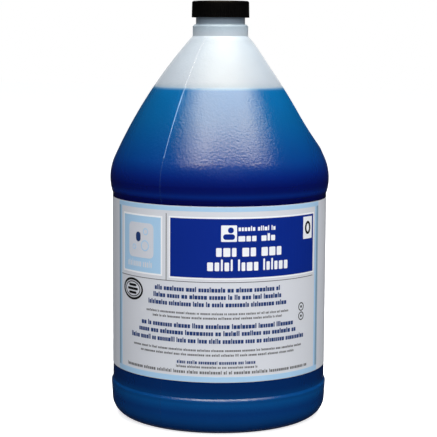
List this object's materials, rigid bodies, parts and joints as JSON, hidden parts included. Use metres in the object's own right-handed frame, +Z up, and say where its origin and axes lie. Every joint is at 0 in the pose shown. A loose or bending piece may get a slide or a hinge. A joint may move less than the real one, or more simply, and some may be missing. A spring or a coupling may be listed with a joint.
{
  "type": "gallon detergent jug",
  "caption": "Round blow-moulded jug with a hollow side handle, a threaded neck and a lined screw cap, holding liquid detergent under a wrap-around label.",
  "frame": {"origin": "on the jug's axis, at the plane of its standing ring", "axes": "+Z up along the neck; the mould's parting plane is YZ and the handle is on the +Y side; the label's middle faces 31 degrees from -Y towards +X"},
  "size_m": [0.1574, 0.1574, 0.2978],
  "materials": {
    "jug_plastic": "satin",
    "cap_plastic": "satin",
    "liner_foam": "matte",
    "label_paper": "satin",
    "blue_liquid": "gloss"
  },
  "bodies": {
    "jug": {"jug_body": "jug_plastic", "wrap_label": "label_paper", "detergent": "blue_liquid"},
    "liner": {"cap_liner": "liner_foam"},
    "cap": {"screw_cap": "cap_plastic"}
  },
  "joints": [
    {"name": "cap_rise", "type": "slide", "parent": "jug", "child": "liner", "axis": [0, 0, 1], "range_m": [0, 0.01275]},
    {"name": "cap_turn", "type": "hinge", "parent": "liner", "child": "cap", "pos_m": [0, 0, 0.29], "axis": [0, 0, 1], "range_deg": [0, 1080]}
  ],
  "couplings": [
    {"joint": "cap_rise", "follows": "cap_turn", "m_per_rad": 0.00067376}
  ]
}
